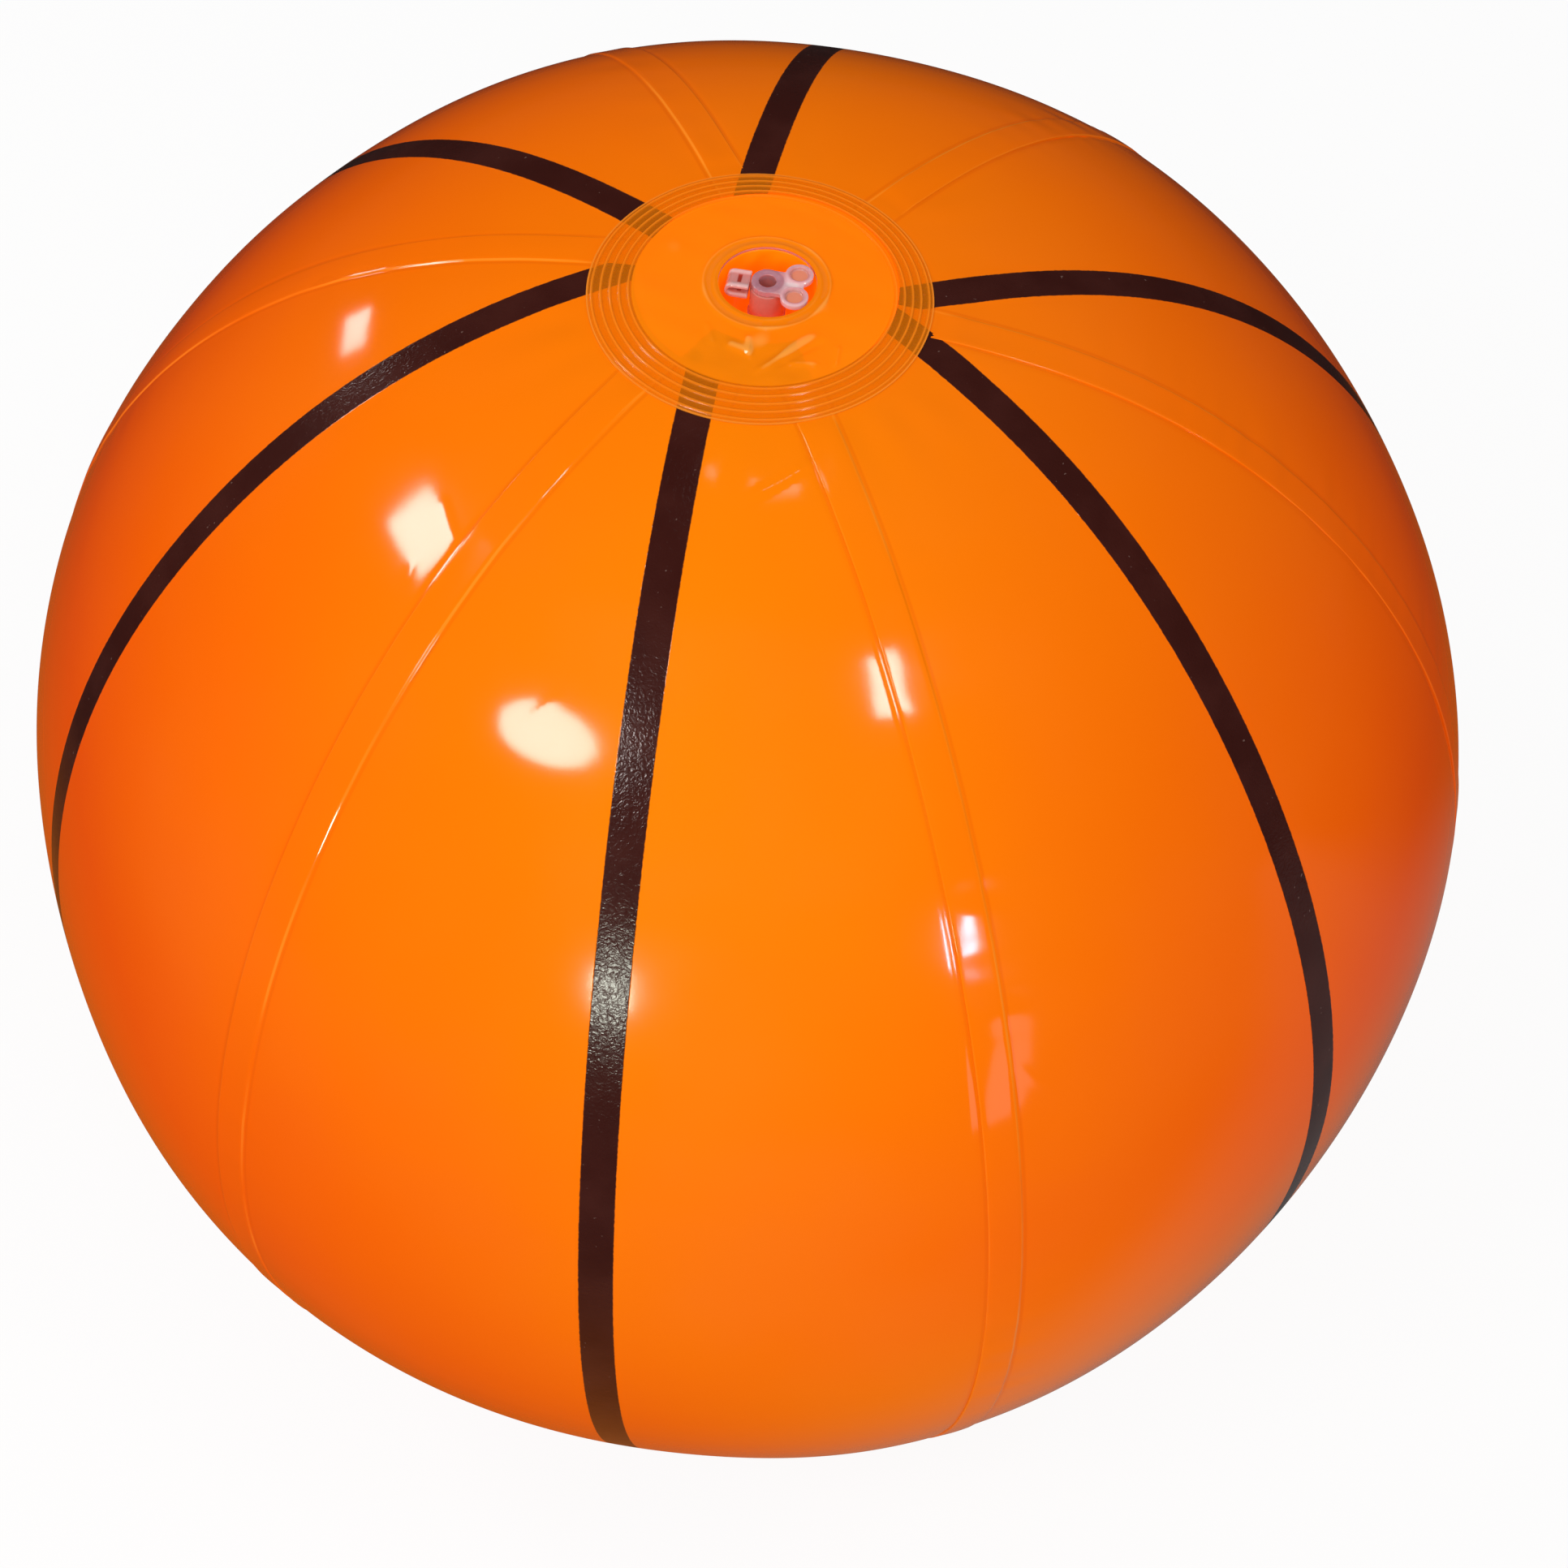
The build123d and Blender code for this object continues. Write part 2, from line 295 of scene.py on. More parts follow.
class Wire:
    """One output of a material's node, with arithmetic that adds Math nodes."""

    def __init__(self, tree, socket):
        self.tree = tree
        self.socket = socket

    def add(self, kind, settings=None, inputs=None, out=0):
        """Adds a node: its settings first, then the values or wires of its inputs, by name or number."""
        node = self.tree.nodes.new(kind)
        for name, value in (settings or {}).items():
            if name == "stops":
                while len(node.color_ramp.elements) < len(value):
                    node.color_ramp.elements.new(0.5)
                for element, (place, color) in zip(node.color_ramp.elements, value):
                    element.position = place
                    element.color = (*color, 1)
            else:
                setattr(node, name, value)
        for name, value in (inputs or {}).items():
            if isinstance(value, Wire):
                self.tree.links.new(value.socket, node.inputs[name])
            else:
                node.inputs[name].default_value = value
        return Wire(self.tree, node.outputs[out])

    def math(self, operation, *values, clamp=False):
        """A Math node on this wire and the values after it."""
        inputs = dict(enumerate((self, *values)))
        return self.add("ShaderNodeMath", {"operation": operation, "use_clamp": clamp}, inputs)

    def __add__(self, other):
        return self.math("ADD", other)

    def __mul__(self, other):
        return self.math("MULTIPLY", other)

    def __sub__(self, other):
        return self.math("SUBTRACT", other)

    def __rsub__(self, other):
        return self.math("MULTIPLY", -1.0) + other

    __radd__ = __add__
    __rmul__ = __mul__

    def within(self, low, high):
        """0 at low, 1 at high, smooth between; low above high turns it round."""
        ends = {"Value": self, "From Min": low, "From Max": high}
        return self.add("ShaderNodeMapRange", {"interpolation_type": "SMOOTHSTEP"}, ends)

    def mix(self, low, high):
        """Colour low where this wire is 0, high where it is 1."""
        color = [value if isinstance(value, Wire) else (*value, 1) for value in (low, high)]
        return self.add("ShaderNodeMix", {"data_type": "RGBA"}, {0: self, 6: color[0], 7: color[1]}, out=2)

    def noise(self, scale, detail=2.0, **more):
        """Noise on this wire as its coordinates."""
        inputs = {"Vector": self, "Scale": scale, "Detail": detail, **more}
        return self.add("ShaderNodeTexNoise", {}, inputs)

    def axes(self):
        """The three numbers of a vector."""
        x = self.add("ShaderNodeSeparateXYZ", {}, {0: self})
        return [Wire(self.tree, output) for output in x.socket.node.outputs]

    def bump(self, distance, strength=1.0):
        """A normal from this wire as a height, distance metres high."""
        return self.add("ShaderNodeBump", {}, {"Height": self, "Distance": distance, "Strength": strength})


def finish_of(name, fixed, paint=None):
    """Material with a Principled shader: fixed values on its sockets, and paint(point, uv) for the rest."""
    material = bpy.data.materials.new(name)
    material.use_nodes = True
    tree = material.node_tree
    shader = tree.nodes["Principled BSDF"]
    for socket, value in fixed.items():
        shader.inputs[socket].default_value = value
    if paint:
        start = Wire(tree, None)
        point = start.add("ShaderNodeTexCoord", out="Object")

        def layer(map_name):
            return start.add("ShaderNodeUVMap", {"uv_map": map_name})

        for socket, wire in paint(point, layer).items():
            tree.links.new(wire.socket, shader.inputs[socket])
    return material


# The film's orange as a painted lit and a painted shaded copy; then the doubled film, a painted shadow tint,
# a painted highlight tint, and the ink.
ORANGE_PAINTED_LIT = (0.91, 0.226, 0.0)
ORANGE_PAINTED_SHADE = (0.85, 0.086, 0.0)
ORANGE_DOUBLED = (0.90, 0.150, 0.0)
ORANGE_PAINTED_SHADOW = (0.66, 0.062, 0.0)
ORANGE_PAINTED_GLINT = (1.0, 0.36, 0.030)
INK = (0.036, 0.0062, 0.0042)
INK_WORN = (0.06, 0.014, 0.010)
INK_PINHOLE = (0.20, 0.13, 0.11)


def paint_film(point, layer):
    """Orange with painted light and shade round the ball, the printed band, and painted glints and shadows at
    the welds.
    """
    x, y, z = point.axes()
    offset = layer("band").axes()[0]
    seam, far_seam = layer("weld").axes()[:2]

    # Painted light and shade: lighter high up and to the front, deeper down and to the sides, with a random
    # mottle; a painted floor bounce lightens the lower right.
    mottle = point.noise(9.0, 3.0)
    full = z * 3.6 - y * 1.4 - x.math("ABSOLUTE") * 2.8 + x * 0.4 + mottle * 0.30 - 0.03
    painted_floor_bounce = z.within(0.06, -0.04) * x.within(-0.01, 0.10)
    orange = (full.math("ADD", 0.0, clamp=True) + painted_floor_bounce * 0.6).mix(ORANGE_PAINTED_SHADE, ORANGE_PAINTED_LIT)

    # The doubled film is a little deeper; a painted highlight lies on its crease and cut edge, and a painted
    # shadow line beside each.
    doubled = seam.within(0.0004, -0.0002)
    orange = (doubled * 0.08).mix(orange, ORANGE_DOUBLED)
    crease = (seam - STEP * 0.4).math("ABSOLUTE").within(0.00045, 0.00015)
    cut_edge = seam.within(LIP - LAP_WIDTH, LIP * 0.5 - LAP_WIDTH)
    painted_glint = crease.math("MAXIMUM", cut_edge * 0.4) * point.noise(22.0, 2.0).within(0.34, 0.66)
    beside_crease = (seam - STEP * 1.6).math("ABSOLUTE").within(0.0007, 0.0001)
    beside_cut = (far_seam - LAP_WIDTH - 0.0004).math("ABSOLUTE").within(0.0008, 0.0001)
    orange = (beside_crease.math("MAXIMUM", beside_cut) * 0.22).mix(orange, ORANGE_PAINTED_SHADOW)
    orange = (painted_glint * 0.38).mix(orange, ORANGE_PAINTED_GLINT)

    # The band: ragged edges, patches of worn ink, and pinholes that the ink missed.
    ragged = point.noise(900.0, 2.0) * 0.0003
    band = (offset.math("ABSOLUTE") + ragged).within(BAND_WIDTH / 2 + 0.00035, BAND_WIDTH / 2 + 0.00005)
    worn = point.noise(60.0, 4.0).within(0.35, 0.75)
    ink = (worn * 0.5).mix(INK, INK_WORN)
    pinhole = point.noise(700.0, 1.0).within(0.76, 0.80)
    ink = (pinhole * 0.5).mix(ink, INK_PINHOLE)

    handled = point.noise(14.0, 4.0).within(0.35, 0.8)
    wormy = point.noise(750.0, 1.0, Distortion=1.5)
    relief = point.noise(1400.0, 2.0) * 0.12 + point.noise(160.0, 2.0) * 0.5 + band * (0.6 + wormy * 4.6)
    return {
        "Base Color": band.mix(orange, ink),
        "Roughness": 0.075 + handled * 0.08 + band * 0.09,
        "Normal": relief.bump(0.00003, 0.6),
    }


film_finish = finish_of("printed_film", {"IOR": 1.5, "Specular IOR Level": 0.5}, paint_film)

# The inside of the film carries a painted glow that stands in for daylight coming through it, so no lamp has
# to stand in the ball.
film_inside_painted_glow = finish_of("film_inside_painted_glow", {
    "Base Color": (0.9, 0.16, 0.01, 1),
    "Roughness": 0.5,
    "Emission Color": (1.0, 0.17, 0.0, 1),
    "Emission Strength": 0.75,
})
film_inside_painted_glow.cycles.emission_sampling = "NONE"

for number in range(1, GORES + 1):
    gore = make_gore(number)
    gore.data.materials.append(film_finish)
    gore.data.materials.append(film_inside_painted_glow)
    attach(gore, "ball")
    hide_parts(f"gore_{number}")

# ------------------------------------------------------------------ Patches
# Round discs of translucent film over the gore tips at both poles. The welding tool leaves concentric ridges
# inside the rim; the valve's patch has the flange welded under it, and wrinkles from being pushed in.
RIDGES = 5
RIDGE_PITCH = 0.0021
RIDGE_INSET = 0.0012
RIDGE_HEIGHT = 0.00028
FLANGE_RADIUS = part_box("valve_flange")[1][0]
WELL_RADIUS = 0.012
WELD_RING = 0.00030          # height of the weld over the flange's outer edge
WELL_RING = 0.00022          # height of the rounded edge of the well
WRINKLE_UNIT = 0.0005        # height of a wrinkle that counts as 1 in the creased layer
SLACK_RADIUS = 0.029         # the rows of the mesh lie closer from here out, where the ridges are
SET_OFF = (-0.0012, -0.0031)  # how far the centre of the rim lies off the valve's axis, in x and y

# Folds in the slack film in front of the valve: two ends from the valve's axis, height, half width, in mm.
CREASES = (
    ((2.3, -29.5), (14.4, -15.0), 0.60, 1.10),
    ((6.7, -26.8), (16.5, -16.4), -0.35, 1.10),
    ((-6.0, -21.5), (0.5, -23.8), 0.50, 1.30),
    ((-1.5, -18.5), (0.2, -25.5), 0.40, 0.80),
    ((20.4, -17.0), (20.6, -24.0), 0.38, 0.60),
    ((9.5, -25.0), (16.5, -24.0), 0.26, 0.80),
    ((-12.0, -16.0), (-9.0, -23.0), 0.16, 0.90),
)


def ridge_height(inset):
    """Rounded ridges at even steps in from the rim."""
    step = (inset - RIDGE_INSET) / RIDGE_PITCH
    on = (step > -0.5) & (step < RIDGES - 0.5)
    return np.where(on, RIDGE_HEIGHT * np.maximum(np.cos(2 * pi * step), 0) ** 1.5, 0)


def make_patch(name, hole, crumple, set_off):
    """Disc on the crown, from its hole or the pole to its rim, with ridges and, at the valve, wrinkles."""
    plain = np.linspace(hole, SLACK_RADIUS, 50)[:-1]
    radius = np.concatenate([plain, np.linspace(SLACK_RADIUS, PATCH_RADIUS, 110)])
    angle = np.linspace(0, 2 * pi, 361)
    radius, angle = np.meshgrid(radius, angle, indexing="ij")
    share = (radius - hole) / (PATCH_RADIUS - hole)
    x = radius * np.sin(angle) + set_off[0] * share
    y = -radius * np.cos(angle) + set_off[1] * share
    flat = np.hypot(x, y)
    wrinkle = crumple(x, y, radius)
    lift = PATCH_LIFT + ridge_height(PATCH_RADIUS - radius) + wrinkle
    outer = skin_point(colat_at(flat), np.arctan2(x, -y), lift)
    inner = outer - np.array([0, 0, FILM])
    outer[:, -1], inner[:, -1] = outer[:, 0], inner[:, 0]
    keep = np.ones((outer.shape[0] - 1, outer.shape[1] - 1), bool)
    sharpness = wrinkle / WRINKLE_UNIT
    layers = {"disc": np.stack([radius, angle], -1), "creased": np.stack([sharpness, sharpness], -1)}
    return film_mesh(name, outer, inner, keep, layers)


def valve_wrinkles(x, y, radius):
    """Weld rings at both edges of the flange, slight waves all over, crumples and creases in front.

    Over the flange the film can rise but not sink.
    """
    ring = WELD_RING * np.exp(-((radius - FLANGE_RADIUS + 0.0004) / 0.0005) ** 2)
    inner_ring = WELL_RING * np.exp(-((radius - WELL_RADIUS - 0.0009) / 0.0006) ** 2)
    free = ease(radius, WELL_RADIUS, 0.016) * ease(0.032 - radius, 0, 0.004)
    waves = 0.00012 * ripple(x, y, seed=5, size=0.012) * free
    in_front = np.exp(-((x - 0.005) ** 2 + (y + 0.023) ** 2) / 0.0095 ** 2)
    crumples = 0.00022 * ripple(x, y, seed=9, size=0.0065) * in_front
    creases = 0
    for crease in CREASES:
        first, last, height, half = (np.divide(value, 1000) for value in crease)
        creases = creases + fold_over(x, y, first, last, height, half, before=0.1, inside=0.2)
    slack = waves + crumples + creases * ease(radius, 0.0125, 0.0145)
    slack = np.where(radius < FLANGE_RADIUS + 0.0005, np.maximum(slack, 0), slack)
    return ring + inner_ring + slack


def base_waves(x, y, radius):
    """Slight waves all over."""
    return 0.00008 * ripple(x, y, seed=6, size=0.015) * ease(0.033 - radius, 0, 0.006)


PATCH_DEEP = (0.96, 0.220, 0.0)
PATCH_LIGHT = (1.0, 0.265, 0.002)
PATCH_PAINTED_GLINT = (1.0, 0.40, 0.060)


def paint_patch(point, layer):
    """Translucent orange, clearer along the weld rings where it lies fused to the film below, with painted
    highlights on the ring crests, the rim and the tops of the wrinkles.
    """
    radius = layer("disc").axes()[0]
    step = (PATCH_RADIUS - RIDGE_INSET - radius) * (2 * pi / RIDGE_PITCH)
    crest = (step.math("COSINE") * 0.5 + 0.5).math("POWER", 4.0)
    rings_start = PATCH_RADIUS - RIDGE_PITCH * RIDGES
    on_rings = radius.within(rings_start, rings_start + 0.0004)
    rim = radius.within(PATCH_RADIUS - 0.0006, PATCH_RADIUS - 0.0002)
    # Painted highlights: paler orange on the ring crests, on the rim and on the high tops of the wrinkles.
    painted_crease_glint = layer("creased").axes()[0].within(0.30, 0.95)
    painted_glint = (on_rings * crest).math("MAXIMUM", rim)
    film = point.noise(30.0, 2.0).mix(PATCH_DEEP, PATCH_LIGHT)
    return {
        "Base Color": (painted_glint * 0.16 + rim * 0.25 + painted_crease_glint * 0.8).mix(film, PATCH_PAINTED_GLINT),
        "Roughness": 0.06 + point.noise(40.0, 3.0) * 0.08,
        "Alpha": 0.80 - on_rings * (1 - painted_glint * 0.7) * 0.52,
        "Normal": point.noise(220.0, 2.0).bump(0.00003, 0.6),
    }


POINT = 0.0002               # radius at which the base patch closes over its pole
patch_finish = finish_of("patch_film_finish", {"IOR": 1.5}, paint_patch)

valve_patch = make_patch("valve_patch_film", WELL_RADIUS, valve_wrinkles, SET_OFF)
base_patch = make_patch("base_patch_film", POINT, base_waves, (0, 0))
base_patch.data.transform(Matrix.Rotation(pi, 4, "X"))
for patch, node in ((valve_patch, "valve_patch"), (base_patch, "base_patch")):
    patch.data.materials.append(patch_finish)
    patch.data.materials.append(patch_finish)
    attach(patch, "ball")
    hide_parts(node)

# ------------------------------------------------------------------ Valve cup
# The well the valve stands in: a thin cup of the film, welded to the flange above and to the stem below. The
# real cup folds over itself when the valve is pulled up to blow; this one keeps its pushed-in form.
MOUTH_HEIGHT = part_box("valve_flange")[0][2]


def moulded(name, node, voxel, rounds, reshape=None):
    """The node's own form with its edges rounded: a fine voxel skin, smoothed over some rounds.

    reshape gives a move for each point from x, y, z and how far its normal faces up.
    """
    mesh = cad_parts[node].data.copy()
    mesh.materials.clear()
    merged = bmesh.new()
    merged.from_mesh(mesh)
    bmesh.ops.remove_doubles(merged, verts=merged.verts, dist=1e-6)
    merged.to_mesh(mesh)
    merged.free()
    rough_form = bpy.data.objects.new(name + "_form", mesh)
    bpy.context.scene.collection.objects.link(rough_form)
    skin = rough_form.modifiers.new("skin", "REMESH")
    skin.mode = "VOXEL"
    skin.voxel_size = voxel
    relax = rough_form.modifiers.new("relax", "SMOOTH")
    relax.factor = 0.5
    relax.iterations = rounds
    seen_by = bpy.context.evaluated_depsgraph_get()
    finished = bpy.data.meshes.new_from_object(rough_form.evaluated_get(seen_by))
    bpy.data.objects.remove(rough_form)
    place = np.empty(len(finished.vertices) * 3)
    finished.vertices.foreach_get("co", place)
    place = place.reshape(-1, 3)
    if reshape:
        facing = np.empty(place.size)
        finished.vertex_normals.foreach_get("vector", facing)
        place = place + reshape(*place.T, facing.reshape(-1, 3)[:, 2])
    finished.vertices.foreach_set("co", place.ravel())
    finished.polygons.foreach_set("use_smooth", np.ones(len(finished.polygons), bool))
    finished.update()
    piece = bpy.data.objects.new(name, finished)
    bpy.context.scene.collection.objects.link(piece)
    return piece


def upward(height):
    """A move straight up by a height at each point."""
    return np.stack([0 * height, 0 * height, height], -1)


def cup_creases(x, y, z, facing):
    """Shallow gathers round the wall, from the cup having been pushed in, fading at both welds."""
    angle = np.arctan2(y, x)
    depth = ease(MOUTH_HEIGHT - z, 0.0, 0.003) * ease(np.hypot(x, y), 0.0055, 0.0085)
    push = 0.00018 * depth * (np.sin(9 * angle + 400 * z) + 0.6 * np.sin(14 * angle + 1.3))
    return np.stack([push * np.cos(angle), push * np.sin(angle), 0 * push], -1)


# The cup's orange as a painted lit copy at the mouth and a painted shaded copy deep in the well.
CUP_PAINTED_SHADE = (0.97, 0.125, 0.0)
CUP_PAINTED_LIT = (1.0, 0.26, 0.0)


def paint_cup(point, layer):
    """Orange film, redder towards the bottom of the well as painted shade."""
    height = point.axes()[2]
    depth = height.within(MOUTH_HEIGHT - 0.0075, MOUTH_HEIGHT + 0.0005)
    return {
        "Base Color": depth.mix(CUP_PAINTED_SHADE, CUP_PAINTED_LIT),
        "Roughness": 0.16 + point.noise(300.0, 2.0) * 0.12,
        "Normal": point.noise(420.0, 2.0).bump(0.00006, 0.6),
    }


# The cup's emission is a painted glow, standing in for daylight coming through the film.
cup_finish = finish_of(
    "cup_film",
    {"IOR": 1.5, "Emission Color": (1.0, 0.17, 0.0, 1), "Emission Strength": 0.30},
    paint_cup,
)
cup_finish.cycles.emission_sampling = "NONE"
cup = moulded("valve_cup_film", "valve_cup", voxel=0.00016, rounds=5, reshape=cup_creases)
cup.data.materials.append(cup_finish)
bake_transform(cup)
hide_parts("valve_cup")

# ------------------------------------------------------------------ Valve stem, flange and check flap
# One soft clear PVC moulding: a ring welded under the patch, and the tube the ball is blown up through. A
# flap hangs under the tube and shuts it when the blowing stops.


CLEAR_DEEP = (0.84, 0.32, 0.27)
CLEAR_LIGHT = (0.92, 0.46, 0.40)


def paint_clear(point, layer):
    """Clear moulding with a violet cast, slightly cloudy."""
    cloud = point.noise(500.0, 3.0)
    return {
        "Base Color": cloud.mix(CLEAR_DEEP, CLEAR_LIGHT),
        "Roughness": 0.12 + cloud * 0.15,
        "Normal": point.noise(700.0, 2.0).bump(0.00005, 0.7),
    }


clear_pvc = finish_of("clear_pvc", {"IOR": 1.5, "Transmission Weight": 0.45}, paint_clear)
for node, body, voxel in (("valve_flange", "ball", 0.00020), ("valve_stem", "valve_stem", 0.00018),
                          ("check_flap", "check_flap", 0.00010)):
    part = moulded(node + "_moulding", node, voxel, rounds=4)
    part.data.materials.append(clear_pvc)
    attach(part, body)
    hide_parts(node)

# ------------------------------------------------------------------ Stopper
# The plug that is pushed into the stem, with a round head and a grip tab of two dished lobes. It is moulded
# in the same clear PVC, milky at its thick edges and showing the orange below where it is thin.
HEAD_RADIUS = 0.0040
HOLLOW_RADIUS = 0.0021
LOBE_RADIUS = 0.00345
LOBE_OUT = 0.0072            # centre of a lobe, out from the plug's axis
LOBE_SIDE = 0.0038           # and to either side
DISH_RADIUS = 0.0022
RIM_RADIUS = 0.0028          # crest of the rim round a dish
HEAD_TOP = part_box("stopper")[1][2]


def tab_groove(x, y, z, facing):
    """A rounded groove between the lobes, and raised rims round the dishes and the head, on the top."""
    top = ease(facing, 0.2, 0.7)
    groove = -0.00035 * np.exp(-(y / 0.0009) ** 2) * ease(x, 0.0040, 0.0052)
    from_lobe = np.hypot(x - LOBE_OUT, np.abs(y) - LOBE_SIDE)
    rim = 0.00018 * np.exp(-((from_lobe - RIM_RADIUS) / 0.0004) ** 2)
    from_axis = np.hypot(x, y)
    head_rim = 0.00012 * np.exp(-((from_axis - 0.0032) / 0.0005) ** 2)
    return upward(top * (groove + rim + head_rim))


MILKY = ((0.72, 0.34, 0.38), (0.84, 0.50, 0.54))
MAUVE = ((0.56, 0.24, 0.31), (0.72, 0.38, 0.45))
EDGE = (0.93, 0.70, 0.76)
PAINTED_GLINT = (0.97, 0.90, 0.93)
DISH = (0.90, 0.40, 0.25)
HOLLOW = (0.66, 0.24, 0.22)
PLUG_SIDE = (0.84, 0.30, 0.27)


def paint_stopper(point, layer):
    """Milky violet rims, a mauve ring round the plug's hollow, orange through the dishes, and a painted
    highlight along the groove between the lobes.
    """
    x, y, z = point.axes()
    from_axis = (x * x + y * y).math("SQRT")
    across = y.math("ABSOLUTE") - LOBE_SIDE
    out = x - LOBE_OUT
    from_lobe = (out * out + across * across).math("SQRT")
    dish = from_lobe.within(DISH_RADIUS + 0.0004, DISH_RADIUS - 0.0006)
    edge = from_lobe.within(DISH_RADIUS + 0.0002, LOBE_RADIUS) * x.within(0.0030, 0.0050)
    head = from_axis.within(HEAD_RADIUS + 0.0003, HEAD_RADIUS - 0.0003)
    hollow = from_axis.within(HOLLOW_RADIUS + 0.0003, HOLLOW_RADIUS - 0.0003)
    low = z.within(HEAD_TOP - 0.0008, HEAD_TOP - 0.0026)
    cloud = point.noise(700.0, 3.0)
    color = cloud.mix(*MILKY)
    color = edge.mix(color, EDGE)
    # A painted highlight: a near-white bar along the groove between the lobes.
    between = y.math("ABSOLUTE").within(0.0009, 0.0004)
    between = between * x.within(0.0042, 0.0050) * x.within(0.0082, 0.0070)
    color = between.mix(color, PAINTED_GLINT)
    color = dish.mix(color, DISH)
    color = head.mix(color, cloud.mix(*MAUVE))
    color = hollow.mix(color, HOLLOW)
    color = (low * head).mix(color, PLUG_SIDE)
    return {
        "Base Color": color,
        "Roughness": 0.10 + cloud * 0.14,
        "Normal": point.noise(600.0, 2.0).bump(0.00005, 0.6),
    }


GLOSSY_PVC = {"IOR": 1.5, "Transmission Weight": 0.40, "Coat Weight": 1.0}
stopper_pvc = finish_of("stopper_pvc", GLOSSY_PVC, paint_stopper)
stopper = moulded("stopper_moulding", "stopper", voxel=0.00013, rounds=8, reshape=tab_groove)
stopper.data.materials.append(stopper_pvc)
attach(stopper, "stopper")
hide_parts("stopper")

# ------------------------------------------------------------------ Stopper strap
# A short flat strap that keeps the stopper on its stem, folded back on itself, with a rail along each side
# and a thin slot where it flexes.
STRAP_RAIL = 0.0024          # middle of a rail, to either side
SLOT_PLACE = -0.0068         # the slot, out from the plug's axis


def strap_rails(x, y, z, facing):
    """A rounded rail near each side and a dip at the slot, on the upper side."""
    top = ease(facing, 0.2, 0.7)
    rail = 0.00030 * np.exp(-((np.abs(y) - STRAP_RAIL) / 0.0006) ** 2)
    slot = -0.00022 * np.exp(-((x - SLOT_PLACE) / 0.0004) ** 2) * ease(0.0014 - np.abs(y), 0, 0.0005)
    return upward(top * (rail + slot))


STRAP_PINK = ((0.74, 0.30, 0.28), (0.82, 0.40, 0.38))
STRAP_PALE = (0.92, 0.62, 0.62)
STRAP_SLOT = (0.50, 0.05, 0.03)


def paint_strap(point, layer):
    """Milky pink, paler along the rails, dark red at the slot."""
    x, y, z = point.axes()
    rail = (y.math("ABSOLUTE") - STRAP_RAIL).math("ABSOLUTE").within(0.0011, 0.0003)
    slot = (x - SLOT_PLACE).math("ABSOLUTE").within(0.0007, 0.0003)
    slot = slot * y.math("ABSOLUTE").within(0.0016, 0.0011)
    cloud = point.noise(600.0, 3.0)
    color = cloud.mix(*STRAP_PINK)
    color = rail.mix(color, STRAP_PALE)
    color = slot.mix(color, STRAP_SLOT)
    return {
        "Base Color": color,
        "Roughness": 0.12 + cloud * 0.14,
        "Normal": point.noise(600.0, 2.0).bump(0.00005, 0.6),
    }


strap_pvc = finish_of("strap_pvc", GLOSSY_PVC, paint_strap)
strap = moulded("stopper_strap_moulding", "stopper_strap", voxel=0.00011, rounds=6, reshape=strap_rails)
strap.data.materials.append(strap_pvc)
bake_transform(strap)
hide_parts("stopper_strap")

# ------------------------------------------------------------------ Studio
# A white floor and sky that show as a plain backdrop, with a soft shadow under the ball. In the film's gloss
# the sky is a dim room, and the floor a painted orange glow near the ball and a painted pool of light aside.
FLOOR = 6.0
bpy.ops.mesh.primitive_plane_add(size=FLOOR, location=(0, 0, cad_box[0][2]))
floor = bpy.context.object
floor.name = "floor"
floor_finish = bpy.data.materials.new("floor_finish")
floor_finish.use_nodes = True
tree = floor_finish.node_tree
paint = Wire(tree, None)
rays = paint.add("ShaderNodeLightPath").socket.node.outputs
RAYS = ("Is Camera Ray", "Is Glossy Ray", "Is Transmission Ray", "Is Diffuse Ray")
seen, mirrored, through, spread = (Wire(tree, rays[name]) for name in RAYS)
across, back = paint.add("ShaderNodeTexCoord", out="Object").axes()[:2]
# Painted light in the floor: in the film's gloss a white pool to one side and an orange glow near the ball;
# to diffuse rays a white painted bounce.
painted_pool_side = (across + back * 0.4).within(-0.12, 0.22)
painted_pool_side = painted_pool_side * back.within(-0.26, -0.08) * back.within(0.22, 0.04)
far = (across * across + back * back).math("SQRT")
near = far.within(0.60, 0.22) * (1 - painted_pool_side) * 0.45
shown = (seen + through + spread * 0.75 + mirrored * (painted_pool_side * 0.135 + near)).math("MINIMUM", 1.0)
glow = (mirrored * (1 - through) * (1 - painted_pool_side)).mix((1.0, 1.0, 1.0), (1.0, 0.24, 0.01))
dim = (mirrored * (1 - through)).mix((0.85, 0.85, 0.85), (0.02, 0.02, 0.02))
diffuse = paint.add("ShaderNodeBsdfDiffuse", {}, {"Color": dim})
white = paint.add("ShaderNodeEmission", {}, {"Color": glow, "Strength": 1.0})
mixed = paint.add("ShaderNodeMixShader", {}, {0: shown * 0.92, 1: diffuse, 2: white})
tree.links.new(mixed.socket, tree.nodes["Material Output"].inputs["Surface"])
floor_finish.cycles.emission_sampling = "NONE"
floor.data.materials.append(floor_finish)

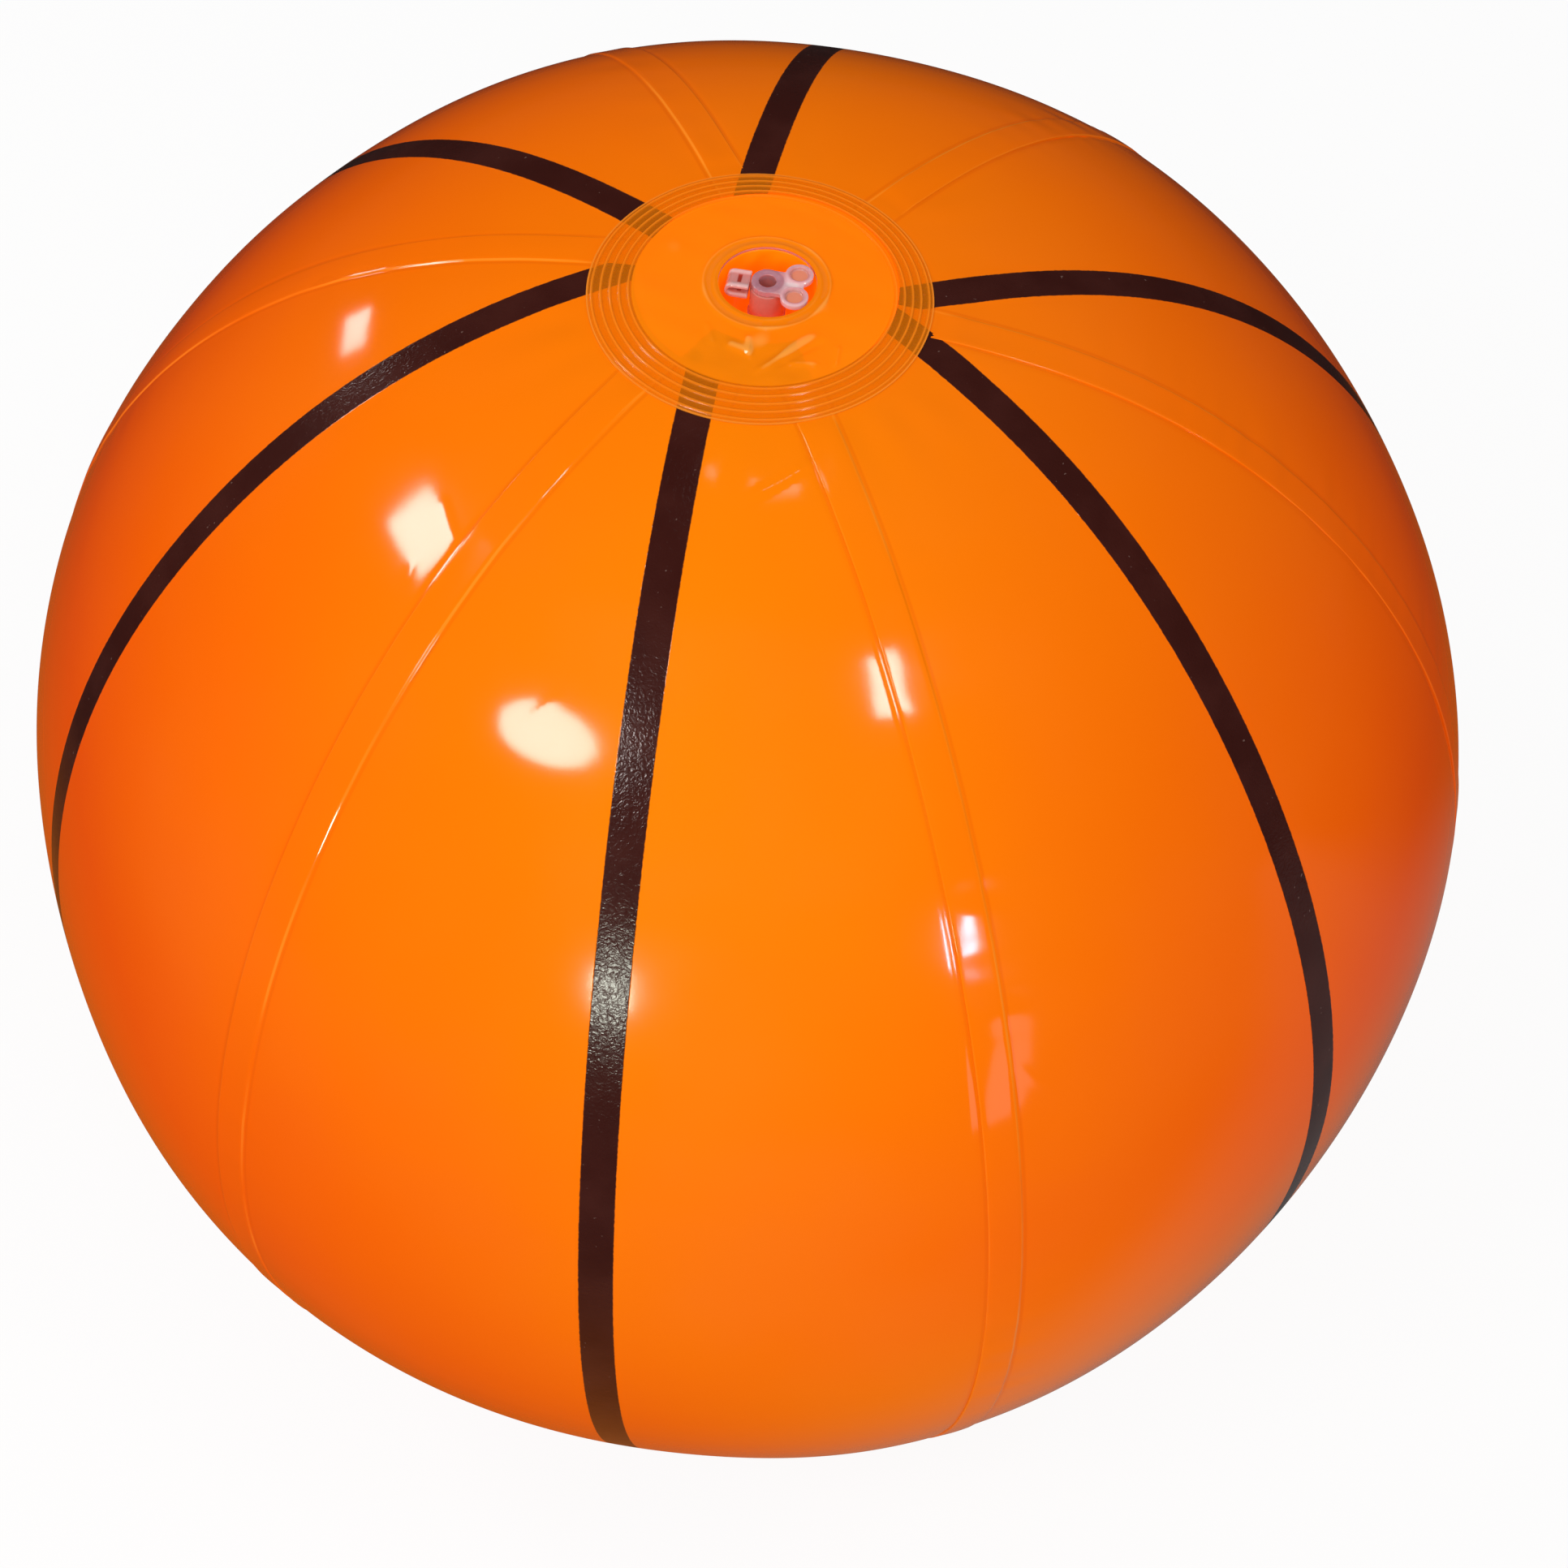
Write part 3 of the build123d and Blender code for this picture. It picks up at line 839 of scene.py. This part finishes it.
# The sky is white where it is looked at, plain fill light on the film, and a dim room in its gloss.
SKY_FILL = 0.52
SKY_IN_GLOSS = 0.02
world = bpy.data.worlds.new("studio")
bpy.context.scene.world = world
world.use_nodes = True
world.cycles.sampling_method = "NONE"
sky = Wire(world.node_tree, None)
rays = sky.add("ShaderNodeLightPath").socket.node.outputs
seen, mirrored, through = (Wire(world.node_tree, rays[name]) for name in RAYS[:3])
shown = (seen + through).math("MINIMUM", 1.0)
plain = SKY_FILL - mirrored * (SKY_FILL - SKY_IN_GLOSS)
strength = shown + (1 - shown) * plain
background = world.node_tree.nodes["Background"]
world.node_tree.links.new(strength.socket, background.inputs["Strength"])
background.inputs["Color"].default_value = (1, 1, 1, 1)


AWAY = 1.4
WARM = (1.0, 0.92, 0.88)
COOL = (0.84, 0.76, 1.0)
GREENISH = (0.95, 1.0, 0.85)
PINK = (1.0, 0.80, 0.82)


def window(name, around, up, width, height, watts, color, turn=0.0, shape="RECTANGLE", distance=AWAY):
    """Flat light in a direction from the ball, facing it: degrees round from the front, up, and turned."""
    light = bpy.data.lights.new(name, "AREA")
    light.shape = shape
    light.size, light.size_y = width, height
    light.energy = watts
    light.color = color
    lamp = bpy.data.objects.new(name, light)
    bpy.context.scene.collection.objects.link(lamp)
    a, e = radians(around), radians(up)
    place = Vector((sin(a) * cos(e), -cos(a) * cos(e), sin(e))) * distance
    facing = place.to_track_quat("Z", "Y").to_matrix().to_4x4()
    lamp.matrix_world = Matrix.Translation(place) @ facing @ Matrix.Rotation(radians(turn), 4, "Z")
    return lamp


window("window_left", -91.0, 48.3, 0.235, 0.195, 2.5, WARM, 33)
window("window_front", -31.8, 49.5, 0.33, 0.23, 3.2, WARM, 8, "ELLIPSE")
window("window_back", -123, 28, 0.15, 0.09, 0.45, WARM, 35)
window("window_top", 48.7, 63.6, 0.125, 0.25, 1.8, WARM, -24)
window("lamp_right", 40.2, 21.8, 0.075, 0.17, 1.25, COOL, -17)
window("lamp_low", -8.8, 16.0, 0.09, 0.14, 2.2, GREENISH, 14)
window("door_right", 43.4, -1.0, 0.19, 0.46, 0.28, PINK, -17, "ELLIPSE")
window("skylight", 186, 76, 0.09, 0.045, 0.045, WARM, -25)
soft = window("softbox", 4, 56, 2.2, 2.2, 14.5, (1, 0.97, 0.93), distance=2.4)
soft.visible_glossy = False

# ------------------------------------------------------------------ Camera
# Above and in front, turned a little so that the pole leans to one side. It aims just off the ball's centre.
DISTANCE = 0.9596
FROM_POLE = radians(37.33)
ROUND = radians(8.39)
ROLL = radians(2.47)
FOCAL = 76.83
AIM_RIGHT = 0.0105
AIM_DOWN = 0.0096
place = Vector((sin(ROUND) * sin(FROM_POLE), -cos(ROUND) * sin(FROM_POLE), cos(FROM_POLE))) * DISTANCE
right = Vector((cos(ROUND), sin(ROUND), 0))
up = right.cross(-place.normalized())
right_rolled = right * cos(ROLL) + up * sin(ROLL)
up_rolled = up * cos(ROLL) - right * sin(ROLL)
aim = right_rolled * AIM_RIGHT - up_rolled * AIM_DOWN
back = (place - aim).normalized()
side = (right_rolled - back * right_rolled.dot(back)).normalized()
camera_data = bpy.data.cameras.new("camera")
camera_data.lens = FOCAL
camera_data.sensor_width = 36
camera = bpy.data.objects.new("camera", camera_data)
bpy.context.scene.collection.objects.link(camera)
turned = Matrix((side, back.cross(side), back)).transposed().to_4x4()
camera.matrix_world = Matrix.Translation(place) @ turned
bpy.context.scene.camera = camera
bpy.context.scene.view_settings.view_transform = "Standard"
